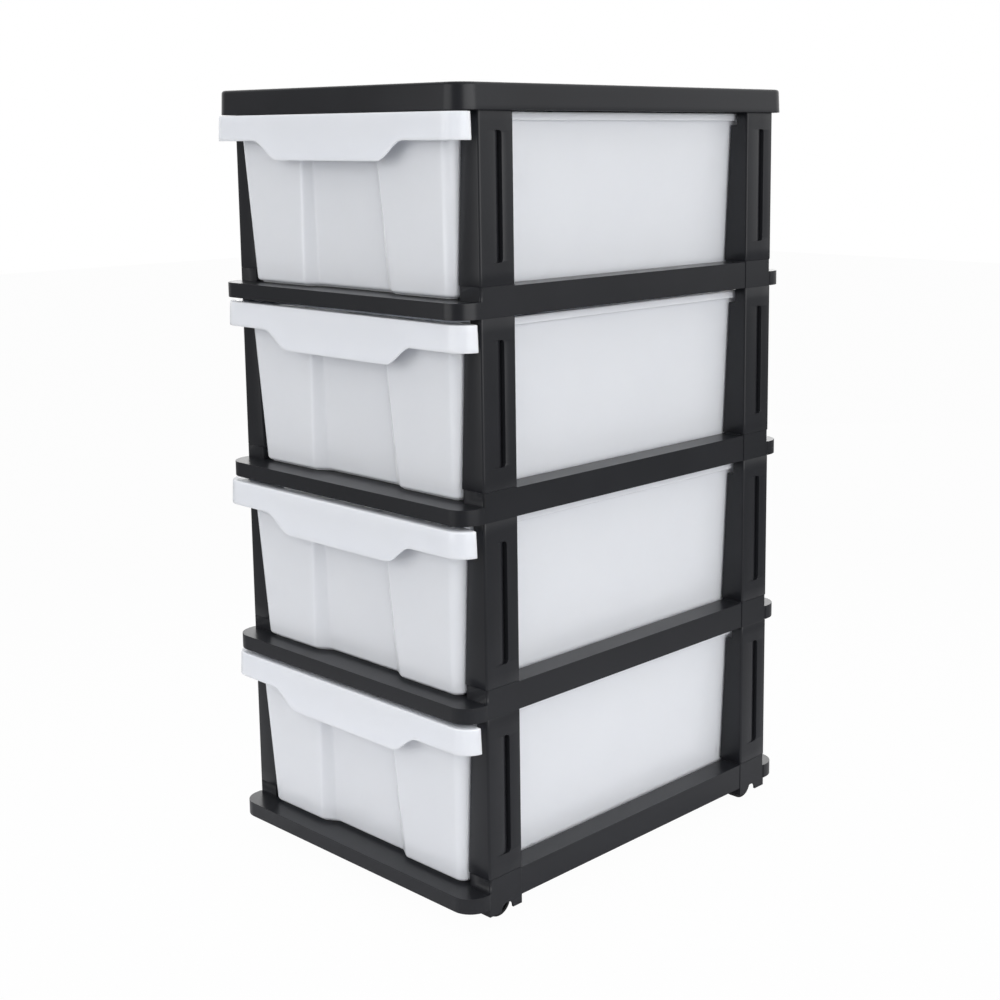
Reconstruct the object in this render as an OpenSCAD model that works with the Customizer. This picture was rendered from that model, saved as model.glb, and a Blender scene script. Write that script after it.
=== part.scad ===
// Drawer tower on castors: four tiers of corner posts and shelf frames, four pull-out drawers.
// Millimetres. The front faces -Y, +X is to the right, +Z is up, the origin is on the floor at the centre.

/* [Tower] */
// Width over the outer faces of the posts.
frame_w = 298; // [285:1:330]
// Depth over the front and rear faces of the posts.
frame_d = 354; // [335:1:400]
// Height from one shelf to the next.
tier_pitch = 154; // [145:1:190]
// Height of the floor gap under the feet of the base.
foot_clear = 11; // [10.6:0.1:14]
// Height of the feet below the base rails.
foot_h = 7; // [6.4:0.1:9]

/* [Shelves] */
// Height of a side rail, from its lower edge to the plane the posts stand on.
rail_h = 23.3; // [22:0.1:28]
// Width of a side rail.
rail_w = 21.6; // [17:0.2:23]
// Height of the front and rear lips.
lip_h = 12.5; // [11:0.1:14]
// Reach of the lips beyond the posts, front and rear.
lip_out = 21.3; // [15:0.1:26]
// Plan radius of the shelf corners.
shelf_r = 18; // [10:0.5:20]
// Thickness of the moulded shelf walls.
shelf_t = 2.4; // [1.8:0.1:3]
// Width of a corner block, seen from the front.
block_w = 23; // [20:0.2:24]
// Outset of the lip ends beyond the sides of the posts.
shelf_out = 0.6; // [0.4:0.1:1.2]

/* [Posts] */
// Depth of a post, seen from the side.
post_d = 35; // [33:0.5:42]
// Thickness of the side leg of a post.
post_t = 8; // [7.6:0.1:9]
// Width of the front flange at its foot.
flange_low = 24; // [22:0.1:27]
// Width of the front flange at its top.
flange_top = 17.5; // [15.5:0.1:20]
// Thickness of the front flange.
flange_t = 3; // [2:0.1:3.4]
// Depth of the long recess in the outer side of a post.
pocket_depth = 5; // [2:0.1:5.4]
// Length of the plug under a post.
plug_len = 9; // [5:0.5:9]

/* [Cover] */
// Height of the cover over its skirt.
cover_h = 20; // [18:0.5:26]
// Reach of the skirt below the post tops.
skirt_drop = 2.8; // [0.5:0.1:3]
// Outset of the skirt beyond the sides of the posts.
cover_out = 2.5; // [1:0.1:4]
// Reach of the skirt beyond the front of the posts.
cover_front = 19.9; // [14:0.1:24]
// Wall thickness of the cover.
cover_t = 2.5; // [2:0.1:3]

/* [Drawers] */
// Side gap between a drawer and the flanges beside it.
drawer_gap = 1.3; // [0.8:0.1:2]
// Wall thickness of a drawer.
drawer_t = 2; // [1.6:0.1:2.6]
// Plan radius of the drawer corners.
drawer_r = 9; // [6:0.5:12]
// Gap between a drawer rim and the shelf above it.
rim_gap = 3.5; // [3.4:0.1:9]
// Overhang of the rim at the sides and the rear.
rim_out = 4; // [2.5:0.1:4.2]
// Depth of the recess in the drawer front.
recess_depth = 7; // [3:0.5:8]
// Outset of the handle apron beyond the sides of the posts.
apron_out = 2.4; // [-2:0.1:3.2]
// Reach of the handle apron beyond the front of the posts, with the drawer shut.
apron_reach = 20; // [17.5:0.1:24]
// Height of the apron at its ends.
apron_h = 20.6; // [17:0.2:23]
// Extra depth of the apron in the middle.
apron_drop = 15.3; // [8:0.1:16]
// Travel of a drawer to its stop.
drawer_travel = 250; // [180:5:250]
// How far the lowest drawer stands out from its rear stop.
out_1 = 3.1; // [0:0.1:6]
// How far the second drawer stands out from its rear stop.
out_2 = 4.6; // [0:0.1:6]
// How far the third drawer stands out from its rear stop.
out_3 = 0; // [0:0.1:6]
// How far the top drawer stands out from its rear stop.
out_4 = 3.7; // [0:0.1:6]

/* [Castors] */
// Diameter of a castor wheel.
wheel_d = 25; // [22:0.1:25.4]
// Width of a castor wheel.
wheel_w = 11; // [8:0.5:11]
// Distance from the swivel axis back to the wheel axle.
trail = 3; // [1.5:0.1:3.2]
// Distance of the swivel axis from the outer face of a post.
castor_in = 17.5; // [17.3:0.1:18.5]
// Radius of the castor stem.
stem_r = 3; // [2.5:0.1:3]
// Radius of the wheel axle.
axle_r = 1.5; // [1.2:0.1:1.8]

/* [Hidden] */
$fn = 64;

frame_color = [0.20, 0.21, 0.22];
drawer_color = [0.88, 0.90, 0.92];
castor_color = [0.10, 0.10, 0.11];
pin_color = [0.62, 0.64, 0.66];

xo = frame_w / 2;
yo = frame_d / 2;
open_h = tier_pitch - rail_h;
joint_z = foot_clear + foot_h + rail_h;
cut = 1;
hull_fn = 32;

// Shelf lines. All heights are measured from the plane that the posts stand on.
xs = xo + shelf_out;
ys = yo + lip_out;
deck_z = lip_h - rail_h;
block_in = xs - block_w;
rail_in = xo - rail_w;
rail_inset = 0.5;
rail_drop = 0.8;
edge_r = 2;
block_y = yo - post_d;

// Plug and socket between a post and a corner block.
plug_x = xo - 6.6;
plug_w = 5;
plug_margin = 4.5;
plug_gap = 0.15;
post_gap = 0.3;
top_plug_len = 7;

// Castor seat. The ceiling is where the swivel cavity in the base ends.
castor_x = xo - castor_in;
castor_y = yo - 19;
cavity_r = sqrt(pow(wheel_d / 2 + trail, 2) + pow(wheel_w / 2, 2)) + 0.5;
upper_r = castor_in + shelf_out - 1.9;
arch_r = 6.4;
axle_z = wheel_d / 2;
plate_t = 2.6;
plate_gap = 0.4;
plate_top = wheel_d + 1.2 + plate_t;
ceiling_z = plate_top + plate_gap;
plate_r = 8.5;
stem_len = 8.6;
boss_r = 5.5;
run_gap = 0.05;
cheek_t = 1.8;
cheek_gap = 0.5;
cheek_x = wheel_w / 2 + cheek_gap;

// Drawer lines.
skid_h = 1.2;
deck_gap = 0.3;
floor_z = deck_z + deck_gap + skid_h;
floor_edge = 3;
draft_ease = 0.5;
half_low = xo - flange_low - drawer_gap;
side_draft = (flange_low - flange_top - draft_ease) / open_h;
front_y = yo + 1.5;
front_draft = 0.0527;
rear_y = yo - 10;
rear_draft = 0.0224;
rim_z = open_h - rim_gap;
rim_h = 7;
rim_t = 2.2;
rim_skirt_t = 1.6;
apron_t = 2;
apron_w = xo + apron_out;
apron_y = yo + apron_reach;
apron_end = yo + 4.9;
drop_low = rim_z - apron_h - apron_drop;
drop_high = rim_z - apron_h;
recess_low = floor_z - 10;
recess_top = drop_low + 6.7;
recess_wide = 55;
recess_narrow = 43;
recess_lean = 8.5;
notch_x = half_at(rim_z) + rim_out + 3.8;
notch_z = rim_z - rim_h - 3;
pip_x = 60;
pip_y = yo - 12;
pip_r = 4;
stop_gap = 0.5;
skid_x = half_low - 17;
skid_w = 6;
skid_front = 30;
skid_rear = 20;
stop_y = drawer_travel + pip_r - pip_y + deck_gap;
outs = [out_1, out_2, out_3, out_4];
shift_y = (apron_y + max(outs) - ys) / 2;

function tier_z(k) = joint_z + k * tier_pitch;
function half_at(z) = half_low + side_draft * z;
function front_at(z) = front_y + front_draft * z;
function rear_at(z) = rear_y + rear_draft * z;

// Puts the origin under the centre of the whole tower, which reaches out further in front than behind.
module placed() {
  translate([0, shift_y, 0]) children();
}

// Rectangle with rounded corners, given by its half width and its two ends in Y.
module plan(half, y_low, y_high, r) {
  translate([-half + r, y_low]) square([2 * half - 2 * r, y_high - y_low]);
  translate([-half, y_low + r]) square([2 * half, y_high - y_low - 2 * r]);
  for (x = [-half + r, half - r]) {
    for (y = [y_low + r, y_high - r]) {
      translate([x, y]) circle(r);
    }
  }
}

// The four corners of the tower, made from the one at the front right.
module corner(right, front) {
  mirror([right ? 0 : 1, 0, 0]) mirror([0, front ? 0 : 1, 0]) children();
}

module both_sides() {
  children();
  mirror([1, 0, 0]) children();
}

module four_corners() {
  for (right = [true, false]) {
    for (front = [true, false]) {
      corner(right, front) children();
    }
  }
}

// What is left outside the round when the front outer edge of a post or corner block is rounded.
module edge_waste(z_low, height) {
  translate([0, 0, z_low]) difference() {
    translate([xo - edge_r, -yo - cut, 0]) cube([edge_r + cut, edge_r + cut, height]);
    translate([xo - edge_r, -yo + edge_r, -cut]) cylinder(r = edge_r, h = height + 2 * cut);
  }
}

// Plug of a post at the front right, seen from above.
module plug_plan(gap) {
  translate([plug_x - gap, -yo + plug_margin - gap])
    square([plug_w + 2 * gap, post_d - 2 * plug_margin + 2 * gap]);
}

// One storey of the frame: a hollow tray with lips, two side rails and four corner blocks.
module shelf_body(foot) {
  difference() {
    union() {
      translate([0, 0, -rail_h]) linear_extrude(lip_h) difference() {
        plan(xs, -ys, ys, shelf_r);
        both_sides() {
          translate([xo - rail_inset, -yo]) square([rail_inset + shelf_out + cut, 2 * yo]);
        }
      }
      both_sides() {
        translate([rail_in, -block_y, -rail_h]) cube([rail_w - rail_inset, 2 * block_y, rail_h - rail_drop]);
      }
      four_corners() {
        difference() {
          translate([block_in, -yo, -rail_h - foot]) cube([xo - block_in, post_d, rail_h + foot]);
          edge_waste(deck_z, -deck_z + cut);
        }
      }
    }
    difference() {
      translate([0, 0, -rail_h - cut])
        linear_extrude(lip_h - shelf_t + cut) plan(xs - shelf_t, -ys + shelf_t, ys - shelf_t, shelf_r - shelf_t);
      both_sides() {
        translate([rail_in, -block_y, -rail_h - cut]) cube([xs - rail_in, 2 * block_y, rail_h]);
      }
      four_corners() {
        translate([block_in, -yo, -rail_h - cut]) cube([block_w, post_d, rail_h]);
      }
    }
    both_sides() {
      translate([rail_in + shelf_t, -block_y + shelf_t, -rail_h - cut])
        cube([rail_w - rail_inset - 2 * shelf_t, 2 * block_y - 2 * shelf_t, rail_h - rail_drop - shelf_t + cut]);
    }
    four_corners() {
      translate([0, 0, -plug_len - 0.3]) linear_extrude(plug_len + cut) plug_plan(plug_gap);
    }
  }
}

// Two low pips that end the travel of a drawer, and two ribs that it closes against.
module deck_stops() {
  both_sides() {
    translate([pip_x, -pip_y, deck_z - cut]) cylinder(r = pip_r, h = skid_h + cut);
    translate([pip_x - 20, rear_y + stop_gap, deck_z - cut]) cube([40, 3, 6 + cut]);
  }
}

module shelf(k) {
  translate([0, 0, tier_z(k)]) {
    difference() {
      union() {
        shelf_body(0);
        deck_stops();
      }
      four_corners() {
        translate([0, 0, -rail_h - cut]) linear_extrude(top_plug_len + 0.3 + cut) plug_plan(plug_gap);
        translate([block_in + shelf_t, -yo + shelf_t, -rail_h - cut])
          cube([plug_x - block_in - 2 * shelf_t, post_d - 2 * shelf_t, rail_h - shelf_t + cut]);
      }
    }
  }
}

module base_frame() {
  color(frame_color) placed() translate([0, 0, joint_z]) {
    difference() {
      union() {
        shelf_body(foot_h);
        deck_stops();
        four_corners() {
          translate([castor_x, -castor_y, ceiling_z - joint_z]) cylinder(r = boss_r, h = joint_z - ceiling_z - 1);
        }
      }
      four_corners() {
        translate([castor_x, -castor_y, -joint_z]) cylinder(r = upper_r, h = ceiling_z);
        translate([castor_x, -castor_y, -joint_z]) cylinder(r = cavity_r, h = foot_clear + arch_r);
        translate([castor_x, -castor_y, foot_clear - joint_z]) rotate([0, 90, 0]) cylinder(r = arch_r, h = 2 * castor_in);
        translate([castor_x, -castor_y, -joint_z]) cylinder(r = stem_r + run_gap, h = joint_z - shelf_t);
      }
    }
  }
}

module shelf_low() { color(frame_color) placed() shelf(1); }
module shelf_mid() { color(frame_color) placed() shelf(2); }
module shelf_high() { color(frame_color) placed() shelf(3); }

// Cover: a shallow cap with rounded edges that sits down over the tops of the upper posts.
module cover() {
  cover_x = xo + cover_out;
  cover_y = yo + cover_front;
  cover_z = open_h - skirt_drop;
  color(frame_color) placed() translate([0, 0, tier_z(3) + cover_z]) {
    difference() {
      hull() {
        linear_extrude(0.01) plan(cover_x, -cover_y, cover_y, shelf_r, $fn = hull_fn);
        translate([0, 0, cover_h - 2.4])
          linear_extrude(0.01) plan(cover_x - 0.8, -cover_y + 0.8, cover_y - 0.8, shelf_r, $fn = hull_fn);
        translate([0, 0, cover_h - 0.8])
          linear_extrude(0.01) plan(cover_x - 1.5, -cover_y + 1.5, cover_y - 1.5, shelf_r, $fn = hull_fn);
        translate([0, 0, cover_h - 0.01])
          linear_extrude(0.01) plan(cover_x - 3, -cover_y + 3, cover_y - 3, shelf_r - 1, $fn = hull_fn);
      }
      difference() {
        translate([0, 0, -cut])
          linear_extrude(cover_h - cover_t + cut)
            plan(cover_x - cover_t - 0.8, -cover_y + cover_t + 0.8, cover_y - cover_t - 0.8, shelf_r - cover_t);
        four_corners() {
          translate([xo - block_w, -yo, skirt_drop]) cube([block_w + cover_out - 1, post_d, cover_h]);
        }
      }
      four_corners() {
        translate([0, 0, -cut]) linear_extrude(skirt_drop + top_plug_len + 0.3 + cut) plug_plan(plug_gap);
        translate([xo - block_w, -yo - post_gap, -cut])
          cube([block_w + post_gap, post_d + 2 * post_gap, skirt_drop + cut]);
      }
    }
  }
}

// Post at the front right: an outer leg with a long recess, and a front flange that tapers upward.
// The recess is flush with the leg at its front and sinks in toward its rounded rear end.
module post_shape() {
  pocket_w = 15.5;
  pocket_margin = 17;
  pocket_r = 3;
  pocket_y = -yo + 8;
  pocket_h = open_h - 2 * pocket_margin;
  pocket_slope = pocket_depth / pocket_w;
  skin = 2.4;
  difference() {
    union() {
      translate([xo - post_t, -yo, 0]) cube([post_t, post_d, open_h]);
      translate([0, -yo + flange_t, 0]) rotate([90, 0, 0]) linear_extrude(flange_t)
        polygon([[xo - flange_low, 0], [xo - cut, 0], [xo - cut, open_h], [xo - flange_top, open_h]]);
      translate([0, 0, -plug_len]) linear_extrude(plug_len + cut) plug_plan(0);
      translate([0, 0, open_h - cut]) linear_extrude(top_plug_len + cut) plug_plan(0);
    }
    edge_waste(-cut, open_h + 2 * cut);
    intersection() {
      translate([xo - pocket_depth, pocket_y, pocket_margin]) rotate([90, 0, 90]) linear_extrude(pocket_depth + cut)
        plan(pocket_w, 0, pocket_h, pocket_r);
      linear_extrude(open_h) polygon([
        [xo + 2 * cut, pocket_y - 2 * cut / pocket_slope], [xo + 2 * cut, pocket_y + pocket_w + cut],
        [xo - pocket_depth, pocket_y + pocket_w + cut], [xo - pocket_depth, pocket_y + pocket_w]
      ]);
    }
    translate([xo - flange_low - cut, -yo - cut, notch_z])
      cube([notch_x - xo + flange_low + cut, flange_t + 2 * cut, open_h]);
    difference() {
      translate([xo - post_t - cut, -yo + flange_t + skin, skin + 8])
        cube([post_t - skin + cut, post_d - flange_t - 2 * skin, open_h - 2 * skin - 16]);
      translate([xo - pocket_depth - skin, pocket_y - skin, pocket_margin - skin])
        cube([post_t, pocket_w + 2 * skin, pocket_h + 2 * skin]);
    }
  }
}

// The rear posts stand the same way round as the front ones, with the flange in front.
module post(k, right, front) {
  color(frame_color) placed() translate([0, front ? 0 : frame_d - post_d, tier_z(k)])
    mirror([right ? 0 : 1, 0, 0]) post_shape();
}

module post_1_fl() { post(0, false, true); }
module post_1_fr() { post(0, true, true); }
module post_1_rl() { post(0, false, false); }
module post_1_rr() { post(0, true, false); }
module post_2_fl() { post(1, false, true); }
module post_2_fr() { post(1, true, true); }
module post_2_rl() { post(1, false, false); }
module post_2_rr() { post(1, true, false); }
module post_3_fl() { post(2, false, true); }
module post_3_fr() { post(2, true, true); }
module post_3_rl() { post(2, false, false); }
module post_3_rr() { post(2, true, false); }
module post_4_fl() { post(3, false, true); }
module post_4_fr() { post(3, true, true); }
module post_4_rl() { post(3, false, false); }
module post_4_rr() { post(3, true, false); }

// One level of the drafted drawer body, drawn in by an inset.
module level(z, inset, r) {
  translate([0, 0, z]) linear_extrude(0.01)
    plan(half_at(z) - inset, -front_at(z) + inset, rear_at(z) - inset, r, $fn = hull_fn);
}

// Drafted tub with a rounded lower edge.
module tub(z_low, z_high, inset, r) {
  hull() {
    level(z_low, inset + floor_edge, r - 2);
    level(z_low + 0.3 * floor_edge, inset + 0.3 * floor_edge, r - 1);
    level(z_low + floor_edge, inset, r);
    level(z_high, inset, r);
  }
}

// Outline of the front recess, pushed back from the drawer front.
module recess_slice(z, lean, grow) {
  wide = recess_wide - lean + grow;
  narrow = recess_narrow - lean / 2 + grow;
  back = recess_depth + grow;
  translate([0, 0, z]) linear_extrude(0.01)
    polygon([[-wide, -cut], [wide, -cut], [wide, grow], [narrow, back], [-narrow, back], [-wide, grow]]);
}

// Prism that sets the middle of the drawer front back. It narrows upward and leans with the front.
module front_recess(grow) {
  translate([0, -front_y, 0]) rotate([atan(front_draft), 0, 0]) hull() {
    recess_slice(recess_low, 0, grow);
    recess_slice(recess_top + grow, recess_lean, grow);
  }
}

module apron_plan(inset) {
  intersection() {
    plan(apron_w - inset, -apron_y + inset, 0, shelf_r - inset);
    translate([-apron_w, -apron_y]) square([2 * apron_w, apron_y - apron_end]);
  }
}

module rim_plan(inset) {
  plan(half_at(rim_z) + rim_out - inset, -front_at(rim_z) - 2, rear_at(rim_z) + rim_out - inset, drawer_r + rim_out);
}

// Everything on one side that hangs lower than the handle apron does.
module apron_cutter() {
  end = apron_w + cut;
  translate([0, -apron_end + cut, 0]) rotate([90, 0, 0]) linear_extrude(apron_y)
    polygon([
      [57, drop_low - cut], [57, drop_low], [64, drop_low + 1.2], [71, drop_low + 4.6],
      [82, drop_high - 4.2], [89, drop_high - 1.2], [96, drop_high], [end, drop_high], [end, drop_low - cut]
    ]);
}

module drawer_shape() {
  difference() {
    union() {
      tub(floor_z, rim_z - 0.01, 0, drawer_r);
      translate([0, 0, rim_z - rim_t]) linear_extrude(rim_t) rim_plan(0);
      translate([0, 0, rim_z - rim_h]) linear_extrude(rim_h - 1) intersection() {
        difference() {
          rim_plan(0);
          rim_plan(rim_skirt_t);
        }
        translate([-xo, -yo + 20]) square([frame_w, frame_d]);
      }
      translate([0, 0, rim_z - rim_t]) linear_extrude(rim_t) apron_plan(0);
      difference() {
        translate([0, 0, drop_low]) linear_extrude(rim_z - 1 - drop_low) difference() {
          apron_plan(0);
          apron_plan(apron_t);
        }
        both_sides() apron_cutter();
      }
      both_sides() {
        translate([skid_x, -yo + skid_front, floor_z - skid_h])
          cube([skid_w, frame_d - skid_front - skid_rear, skid_h + cut]);
      }
      translate([-skid_x - cut, stop_y, floor_z - skid_h]) cube([2 * skid_x + 2 * cut, 3, skid_h + cut]);
    }
    front_recess(0);
    difference() {
      tub(floor_z + drawer_t, rim_z + cut, drawer_t, drawer_r - drawer_t);
      front_recess(drawer_t);
    }
  }
}

// The drawers stand a little out from their rear stops, each by its own amount.
module drawer(k) {
  color(drawer_color) placed() translate([0, -outs[k], tier_z(k)]) drawer_shape();
}

module drawer_1() { drawer(0); }
module drawer_2() { drawer(1); }
module drawer_3() { drawer(2); }
module drawer_4() { drawer(3); }

// Castor parts are drawn at the right rear seat. The wheel trails to the rear at all four seats.
module at_castor(right, front) {
  placed() translate([right ? castor_x : -castor_x, front ? -castor_y : castor_y, 0]) children();
}

module castor_fork(right, front) {
  axle_hole = axle_r + run_gap;
  color(castor_color) at_castor(right, front) {
    translate([0, 0, plate_top - plate_t]) cylinder(r = plate_r, h = plate_t);
    translate([0, 0, plate_top - cut]) cylinder(r = stem_r, h = stem_len + cut);
    for (x = [-cheek_x - cheek_t, cheek_x]) {
      translate([x, 0, 0]) rotate([90, 0, 90]) linear_extrude(cheek_t) difference() {
        union() {
          translate([trail, axle_z]) circle(4);
          polygon([[-4.5, plate_top - 1], [4.5, plate_top - 1], [trail + 4, axle_z], [trail - 4, axle_z]]);
        }
        translate([trail, axle_z]) circle(axle_hole);
      }
    }
  }
}

module castor_wheel(right, front) {
  bore = axle_r + run_gap;
  hub_r = 4;
  tread_in = wheel_d / 2 - 3.2;
  web = wheel_w / 2 - 2.6;
  edge = 1.6;
  color(castor_color) at_castor(right, front) translate([0, trail, axle_z]) rotate([0, 90, 0]) rotate_extrude() {
    translate([bore, -wheel_w / 2]) square([hub_r - bore, wheel_w]);
    translate([bore, -web]) square([tread_in + cut - bore, 2 * web]);
    translate([tread_in, -wheel_w / 2]) square([wheel_d / 2 - edge - tread_in, wheel_w]);
    translate([tread_in, -wheel_w / 2 + edge]) square([wheel_d / 2 - tread_in, wheel_w - 2 * edge]);
    for (y = [-wheel_w / 2 + edge, wheel_w / 2 - edge]) {
      translate([wheel_d / 2 - edge, y]) circle(edge);
    }
  }
}

module castor_axle(right, front) {
  half = cheek_x + cheek_t;
  color(pin_color) at_castor(right, front)
    translate([-half, trail, axle_z]) rotate([0, 90, 0]) cylinder(r = axle_r, h = 2 * half);
}

module castor_fork_fl() { castor_fork(false, true); }
module castor_fork_fr() { castor_fork(true, true); }
module castor_fork_rl() { castor_fork(false, false); }
module castor_fork_rr() { castor_fork(true, false); }
module castor_wheel_fl() { castor_wheel(false, true); }
module castor_wheel_fr() { castor_wheel(true, true); }
module castor_wheel_rl() { castor_wheel(false, false); }
module castor_wheel_rr() { castor_wheel(true, false); }
module castor_axle_fl() { castor_axle(false, true); }
module castor_axle_fr() { castor_axle(true, true); }
module castor_axle_rl() { castor_axle(false, false); }
module castor_axle_rr() { castor_axle(true, false); }

base_frame();
shelf_low();
shelf_mid();
shelf_high();
cover();
post_1_fl();
post_1_fr();
post_1_rl();
post_1_rr();
post_2_fl();
post_2_fr();
post_2_rl();
post_2_rr();
post_3_fl();
post_3_fr();
post_3_rl();
post_3_rr();
post_4_fl();
post_4_fr();
post_4_rl();
post_4_rr();
drawer_1();
drawer_2();
drawer_3();
drawer_4();
castor_fork_fl();
castor_fork_fr();
castor_fork_rl();
castor_fork_rr();
castor_wheel_fl();
castor_wheel_fr();
castor_wheel_rl();
castor_wheel_rr();
castor_axle_fl();
castor_axle_fr();
castor_axle_rl();
castor_axle_rr();
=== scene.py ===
import math

import bmesh
import bpy
from mathutils import Matrix, Vector


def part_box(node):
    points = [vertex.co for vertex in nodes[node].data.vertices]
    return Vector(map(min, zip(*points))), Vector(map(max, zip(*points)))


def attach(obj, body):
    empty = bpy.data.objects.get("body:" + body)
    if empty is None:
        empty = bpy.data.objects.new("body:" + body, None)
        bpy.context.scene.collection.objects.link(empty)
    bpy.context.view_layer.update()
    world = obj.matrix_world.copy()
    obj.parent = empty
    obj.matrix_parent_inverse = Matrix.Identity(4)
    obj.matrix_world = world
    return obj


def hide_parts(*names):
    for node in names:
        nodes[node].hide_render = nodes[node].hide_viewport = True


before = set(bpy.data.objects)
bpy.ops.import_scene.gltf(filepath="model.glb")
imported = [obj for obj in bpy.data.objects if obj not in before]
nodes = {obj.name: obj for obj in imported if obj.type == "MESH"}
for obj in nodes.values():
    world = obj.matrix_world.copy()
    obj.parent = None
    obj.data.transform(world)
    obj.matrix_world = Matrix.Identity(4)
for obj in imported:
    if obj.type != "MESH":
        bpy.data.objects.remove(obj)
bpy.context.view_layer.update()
mm = 0.001

# the tower's main planes, in millimetres; heights inside a tier count from the plane its posts stand on
tower = {"postHalfWidth": 149.0, "postHalfDepth": 177.0, "postDepth": 35.0, "openHeight": 130.7, "planShift": 1.65}
tierPlanes = [(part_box(f"post_{tier}_fr")[0][2] / mm) + 9.0 for tier in (1, 2, 3, 4)]   # the plugs reach 9 mm down
print("frame loaded:", len(nodes), "nodes, tiers at", [round(plane, 1) for plane in tierPlanes])


def srgb(hexColour):
    # hex string to a linear colour
    channels = [int(hexColour[i:i + 2], 16) / 255 for i in (1, 3, 5)]
    linear = [c / 12.92 if c <= 0.04045 else ((c + 0.055) / 1.055) ** 2.4 for c in channels]
    return (*linear, 1.0)


def addNode(tree, kind, settings=None, links=None, **inputs):
    # one node, its settings, its constant inputs and the sockets that feed it
    node = tree.nodes.new(kind)
    for key, value in (settings or {}).items():
        setattr(node, key, value)
    for key, value in inputs.items():
        node.inputs[key.replace("_", " ")].default_value = value
    for key, source in (links or {}).items():
        tree.links.new(source, node.inputs[key])
    return node


def newMaterial(name):
    material = bpy.data.materials.new(name)
    material.use_nodes = True
    material.node_tree.nodes.clear()
    return material, material.node_tree


def newPiece(name, mesh):
    piece = bpy.data.objects.new(name, mesh)
    bpy.context.scene.collection.objects.link(piece)
    return piece


def finishMesh(name, bm, material, sharpAngle=32):
    mesh = bpy.data.meshes.new(name)
    bm.to_mesh(mesh)
    bm.free()
    mesh.materials.append(material)
    mesh.shade_smooth()
    mesh.set_sharp_from_angle(angle=math.radians(sharpAngle))
    return newPiece(name, mesh)


def bakeModifiers(piece):
    # what the modifiers make becomes the piece's own plain mesh
    graph = bpy.context.evaluated_depsgraph_get()
    made = bpy.data.meshes.new_from_object(piece.evaluated_get(graph), depsgraph=graph)
    piece.modifiers.clear()
    piece.data = made
    return piece


def place(piece, body, node):
    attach(piece, body)
    if node:
        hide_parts(node)
    return piece


grainDepthMm = 0.06                        # how deep the bump takes the grain to be


def mouldedPolypropylene(name, look):
    # injection-moulded PP from a spark-eroded mould: the eye sees a satin skin with a very fine grain
    # and a slow change of polish along the flow of the melt, and highlights that stay soft at their edges;
    # the real grain is about 0.3 mm and is drawn coarser, so that it shows
    material, tree = newMaterial(name)
    out = addNode(tree, "ShaderNodeOutputMaterial")
    coords = addNode(tree, "ShaderNodeTexCoord")
    grain = addNode(tree, "ShaderNodeTexNoise", links={"Vector": coords.outputs["Object"]},
                    Scale=1000 / look["grainMm"], Detail=3.0, Roughness=0.6)
    flow = addNode(tree, "ShaderNodeTexNoise", links={"Vector": coords.outputs["Object"]},
                   Scale=1000 / look["flowMm"], Detail=2.0, Roughness=0.5)
    tone = addNode(tree, "ShaderNodeMix", {"data_type": "RGBA"}, {"Factor": flow.outputs["Fac"]})
    tone.inputs["A"].default_value = srgb(look["dark"])
    tone.inputs["B"].default_value = srgb(look["light"])
    polish = addNode(tree, "ShaderNodeMapRange", links={"Value": flow.outputs["Fac"]})
    polish.inputs["To Min"].default_value = look["roughness"] - look["roughSpread"]
    polish.inputs["To Max"].default_value = look["roughness"] + look["roughSpread"]
    skin = addNode(tree, "ShaderNodeBump", links={"Height": grain.outputs["Fac"]},
                   Strength=look["grainStrength"], Distance=grainDepthMm * mm)
    shader = addNode(tree, "ShaderNodeBsdfPrincipled",
                     links={"Base Color": tone.outputs["Result"], "Roughness": polish.outputs["Result"],
                            "Normal": skin.outputs["Normal"]})
    shader.inputs["IOR"].default_value = look["ior"]
    shader.inputs["Specular IOR Level"].default_value = look["specular"]
    if look.get("scatter"):
        shader.inputs["Subsurface Weight"].default_value = look["scatter"]
        shader.inputs["Subsurface Radius"].default_value = (1.0, 1.0, 1.0)
        shader.inputs["Subsurface Scale"].default_value = look["scatterMm"] * mm
    tree.links.new(shader.outputs["BSDF"], out.inputs["Surface"])
    return material


# the frame: charcoal, satin, with dull broad highlights
framePlasticLook = {
    "dark": "#1c1d20", "light": "#212226", "grainMm": 1.2, "flowMm": 45.0, "roughness": 0.305,
    "roughSpread": 0.03, "grainStrength": 0.16, "ior": 1.49, "specular": 0.32,
}
# the drawers: milky, smooth, and the light sinks in a few millimetres and comes back soft
drawerPlasticLook = {
    "dark": "#e0e3ea", "light": "#e4e7ee", "grainMm": 0.9, "flowMm": 60.0, "roughness": 0.24,
    "roughSpread": 0.04, "grainStrength": 0.12, "ior": 1.49, "specular": 0.5,
    "scatter": 1.0, "scatterMm": 4.0,
}
# the castors: black, duller than the frame
castorPlasticLook = {
    "dark": "#151617", "light": "#1b1c1d", "grainMm": 0.6, "flowMm": 12.0, "roughness": 0.36,
    "roughSpread": 0.05, "grainStrength": 0.3, "ior": 1.49, "specular": 0.4,
}
framePlastic = mouldedPolypropylene("moulded charcoal polypropylene", framePlasticLook)
drawerPlastic = mouldedPolypropylene("moulded milky polypropylene", drawerPlasticLook)
castorPlastic = mouldedPolypropylene("moulded black polypropylene", castorPlasticLook)


steelWireLook = {"colour": "#a9abad", "lineMm": 0.25, "lineLengthMm": 5.0, "roughness": (0.25, 0.5)}


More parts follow.
